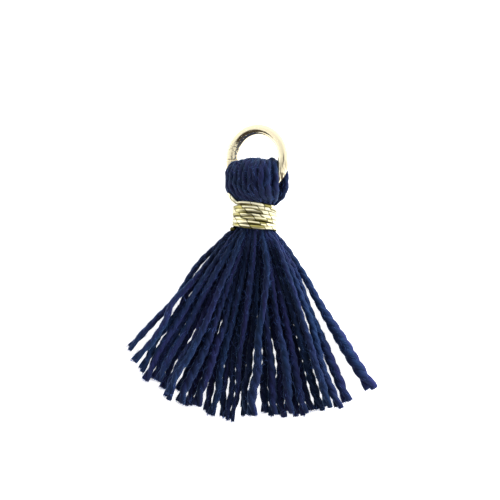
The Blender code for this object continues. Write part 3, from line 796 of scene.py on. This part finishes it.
wound_path = binding_path()
wound_line = [(point.xyz, METAL_THREAD / 2) for point in wound_path]
wound = strand_mesh("wound_binding", [wound_line], METAL_RESOLUTION)
knots = KDTree(len(wound_path))
for i, point in enumerate(wound_path):
    knots.insert(point.xyz * MM, i)
knots.balance()
# Painted shade: this is low where one turn presses on the next, and there the film is painted dark olive.
exposed = wound.attributes.new("exposed", "FLOAT", "POINT")  # 0 where a turn presses on the next one
for vertex, value in zip(wound.vertices, exposed.data):
    middle = wound_path[knots.find(vertex.co)[1]].xyz
    outward = Vector((middle.x, 0, (middle.z - BINDING_Z) / BINDING_OVAL)).normalized()
    reach = (vertex.co / MM - middle).dot(outward) / (METAL_THREAD / 2)
    value.value = LOOSE if middle.y > BINDING_TOP else smooth((reach - PRESSED) / (OPEN - PRESSED))

# Metallised film wrapped round a thread core: shiny foil creased flat between its edges. Each turn
# of it is painted by chance as one lit cream or shaded olive facet, a painted reflection, and the
# loose end as the palest. A painted shade darkens a line where the film's edge lies and the grooves
# where one turn presses on the next. Each facet leans its own way, and how tightly the film was
# wound varies.
film, tree, place, uv = new_material("gold metallic thread")
film_turns = len(wound_path) * METAL_STEP / FILM_PITCH
on_thread = add_node(tree, "ShaderNodeSeparateXYZ", links={0: uv})
along_film = add_node(tree, "ShaderNodeMath", {"operation": "MULTIPLY", 1: film_turns},
                      {0: on_thread.outputs["X"]})
slack = add_node(tree, "ShaderNodeTexNoise", {"noise_dimensions": "1D", "Scale": SLACK_SCALE, "Detail": 0.0},
                 {"W": along_film.outputs["Value"]})
wound_slack = add_node(tree, "ShaderNodeMath", {"operation": "MULTIPLY_ADD", 1: SLACK},
                       {0: slack.outputs["Fac"], 2: along_film.outputs["Value"]})
phase = add_node(tree, "ShaderNodeMath", {"operation": "MULTIPLY_ADD", 1: -1.0},
                 {0: on_thread.outputs["Y"], 2: wound_slack.outputs["Value"]})
facet = add_node(tree, "ShaderNodeMath", {"operation": "FLOOR"}, {0: phase.outputs["Value"]})
in_facet = add_node(tree, "ShaderNodeMath", {"operation": "FRACT"}, {0: phase.outputs["Value"]})
from_edge = add_node(tree, "ShaderNodeMath", {"operation": "PINGPONG", 1: 0.5},
                     {0: in_facet.outputs["Value"]})
clear_of_edge = add_node(tree, "ShaderNodeMapRange", {1: EDGE_DARK, 2: EDGE_CLEAR},
                         {0: from_edge.outputs["Value"]})
clear_of_turns = add_node(tree, "ShaderNodeAttribute", {"attribute_name": "exposed"})
open_film = add_node(tree, "ShaderNodeMath", {"operation": "MULTIPLY"},
                     {0: clear_of_edge.outputs["Result"], 1: clear_of_turns.outputs["Fac"]})
loose_end = add_node(tree, "ShaderNodeMath", {"operation": "SUBTRACT", "use_clamp": True, 1: 1.0},
                     {0: clear_of_turns.outputs["Fac"]})
# Painted reflection: a chance per facet, raised at the loose end, picks its lit or shaded tone; the same
# chance leans its normal.
drawn = add_node(tree, "ShaderNodeTexWhiteNoise", {"noise_dimensions": "1D"}, {"W": facet.outputs["Value"]})
lot = add_node(tree, "ShaderNodeMath", {"operation": "ADD"},
               {0: drawn.outputs["Value"], 1: loose_end.outputs["Value"]})
painted_lit_share = add_node(tree, "ShaderNodeMapRange", {1: SHADED_FACET_BELOW, 2: LIT_FACET_ABOVE, 3: 0.0, 4: 1.0},
                  {0: lot.outputs["Value"]})
gold = add_node(tree, "ShaderNodeMix", {"data_type": "RGBA", 6: linear(OLIVE_GOLD), 7: linear(CREAM_GOLD)},
                {"Factor": painted_lit_share.outputs["Result"]})
# Painted shade: dark olive lines along the film's edges and in the grooves between turns.
edged = add_node(tree, "ShaderNodeMix", {"data_type": "RGBA", 6: linear(EDGE_GOLD)},
                 {"Factor": open_film.outputs["Value"], 7: gold.outputs[2]})
surface = add_node(tree, "ShaderNodeNewGeometry")
own_lean = add_node(
    tree, "ShaderNodeVectorMath",
    {"operation": "MULTIPLY_ADD", 1: (FACET_LEAN,) * 3, 2: (-FACET_LEAN / 2,) * 3},
    {0: drawn.outputs["Color"]})
leaning = add_node(tree, "ShaderNodeVectorMath", {"operation": "ADD"},
                   {0: surface.outputs["Normal"], 1: own_lean.outputs["Vector"]})
facing = add_node(tree, "ShaderNodeVectorMath", {"operation": "NORMALIZE"}, {0: leaning.outputs["Vector"]})
finish_material(tree, add_node(
    tree, "ShaderNodeBsdfPrincipled",
    {"Metallic": 1.0, "Roughness": 0.28},
    {"Base Color": edged.outputs[2], "Normal": facing.outputs["Vector"]}))

add_piece("wound_binding", wound, film, "binding")


# ------------------------------------------------------------------- studio
# A pale light table under the tassel, a white tent round it that is open to a brown room on one
# side, one large soft light at its right, and a camera straight above it.

PIXELS, PIXELS_PER_MM = 500, 11.8
VIEW_CENTRE = (-0.398, -2.839)
CAMERA_RISE = 1.2  # the view is in scale at this height, and the camera stands off from there
LENS, SENSOR = 100.0, 36.0
TABLE_SIDE, TABLE_SHADE = 1.2, 0.9  # metres, and how light it is
SOFTBOX_AT, SOFTBOX_AIM = (190, 60, 75), (0, -4, 1)
SOFTBOX_SIDE, SOFTBOX_WATTS = 130, 1.0
SIDE_LIGHT, TOP_LIGHT = 1.4, 0.95  # the tent's sides, and round the camera
SIDES_END, TOP_STARTS = 0.40, 0.97  # heights in the tent, from 0 at the table's level to 1 overhead
CAMERA_EDGE, CAMERA_LENS, CAMERA_LEVEL = 0.975, 0.99, 0.12  # where the camera shows, and how dark it is
BRIGHT_SIDE, FAR_SHARE, SIDE_BLEND = (0.75, 0.66, 0.0), 0.88, 0.6  # dimmer on the side away from it
DARK_SIDE = (-0.45, -0.86, 0.24)  # where the tent is open to a brown room
OPENING_EDGE, OPENING_INSIDE = 0.61, 0.70  # cosines of the angle from there
ROOM = "#33291F"
SOFT_LOW, SOFT_HIGH, SOFT_FALL = 12.0, 0.27, 0.24  # what matt surfaces see: bright low down, dim above

bm = bmesh.new()
bmesh.ops.create_grid(bm, x_segments=4, y_segments=4, size=TABLE_SIDE / 2)
table_finish, tree, place, _ = new_material("pale light table")
finish_material(tree, add_node(
    tree, "ShaderNodeBsdfPrincipled",
    {"Base Color": (TABLE_SHADE, TABLE_SHADE, TABLE_SHADE, 1), "Roughness": 0.8,
     "Emission Color": (1, 1, 1, 1), "Emission Strength": 1.0}))
floor_mesh = bpy.data.meshes.new("floor")
bm.to_mesh(floor_mesh)
bm.free()
floor_mesh.materials.append(table_finish)
floor = bpy.data.objects.new("floor", floor_mesh)
bpy.context.scene.collection.objects.link(floor)

lamp = bpy.data.lights.new("right_softbox", "AREA")
lamp.size = SOFTBOX_SIDE * MM
lamp.energy = SOFTBOX_WATTS
softbox = bpy.data.objects.new("right_softbox", lamp)
bpy.context.scene.collection.objects.link(softbox)
softbox.location = Vector(SOFTBOX_AT) * MM
softbox.rotation_euler = (Vector(SOFTBOX_AIM) - Vector(SOFTBOX_AT)).to_track_quat("-Z", "Y").to_euler()
softbox.visible_glossy = False

# The tent, as a mirror sees it and as a matt surface does. The camera itself sees plain white.
world = bpy.data.worlds.new("studio")
bpy.context.scene.world = world
world.use_nodes = True
tree = world.node_tree
tree.nodes.clear()
around = add_node(tree, "ShaderNodeTexCoord")
way = around.outputs["Generated"]
upward = add_node(tree, "ShaderNodeSeparateXYZ", links={0: way})
tent = add_node(tree, "ShaderNodeMapRange", {1: SIDES_END, 2: TOP_STARTS, 3: SIDE_LIGHT, 4: TOP_LIGHT},
                {0: upward.outputs["Z"]})
overhead = add_node(tree, "ShaderNodeMapRange", {1: CAMERA_EDGE, 2: CAMERA_LENS, 3: 1.0, 4: CAMERA_LEVEL},
                    {0: upward.outputs["Z"]})
above = add_node(tree, "ShaderNodeMath", {"operation": "MULTIPLY"},
                 {0: tent.outputs["Result"], 1: overhead.outputs["Result"]})
from_right = add_node(tree, "ShaderNodeVectorMath", {"operation": "DOT_PRODUCT", 1: BRIGHT_SIDE}, {0: way})
sideways = add_node(tree, "ShaderNodeMapRange", {1: -SIDE_BLEND, 2: SIDE_BLEND, 3: FAR_SHARE, 4: 1.0},
                    {0: from_right.outputs["Value"]})
lit = add_node(tree, "ShaderNodeMath", {"operation": "MULTIPLY"},
               {0: above.outputs["Value"], 1: sideways.outputs["Result"]})
from_room = add_node(tree, "ShaderNodeVectorMath", {"operation": "DOT_PRODUCT", 1: DARK_SIDE}, {0: way})
opening = add_node(tree, "ShaderNodeMapRange", {1: OPENING_EDGE, 2: OPENING_INSIDE},
                   {0: from_room.outputs["Value"]})
shiny = add_node(tree, "ShaderNodeMix", {"data_type": "RGBA", 7: linear(ROOM)},
                 {"Factor": opening.outputs["Result"], 6: lit.outputs["Value"]})
soft = add_node(tree, "ShaderNodeMapRange", {1: 0.0, 2: SOFT_FALL, 3: SOFT_LOW, 4: SOFT_HIGH},
                {0: upward.outputs["Z"]})
seen_by = add_node(tree, "ShaderNodeLightPath")
by_surface = add_node(
    tree, "ShaderNodeMix", {"data_type": "RGBA"},
    {"Factor": seen_by.outputs["Is Diffuse Ray"], 6: shiny.outputs[2], 7: soft.outputs["Result"]})
shown = add_node(tree, "ShaderNodeMix", {"data_type": "RGBA", 7: (1, 1, 1, 1)},
                 {"Factor": seen_by.outputs["Is Camera Ray"], 6: by_surface.outputs[2]})
glow = add_node(tree, "ShaderNodeBackground", links={"Color": shown.outputs[2]})
add_node(tree, "ShaderNodeOutputWorld", links={"Surface": glow.outputs["Background"]})

bpy.context.scene.view_settings.view_transform = "Standard"

lens = bpy.data.cameras.new("camera")
lens.lens, lens.sensor_width = LENS, SENSOR
lens.clip_start, lens.clip_end = 0.001, 10.0
camera = bpy.data.objects.new("camera", lens)
bpy.context.scene.collection.objects.link(camera)
camera.location = Vector((*VIEW_CENTRE, CAMERA_RISE + PIXELS / PIXELS_PER_MM * LENS / SENSOR)) * MM
bpy.context.scene.camera = camera
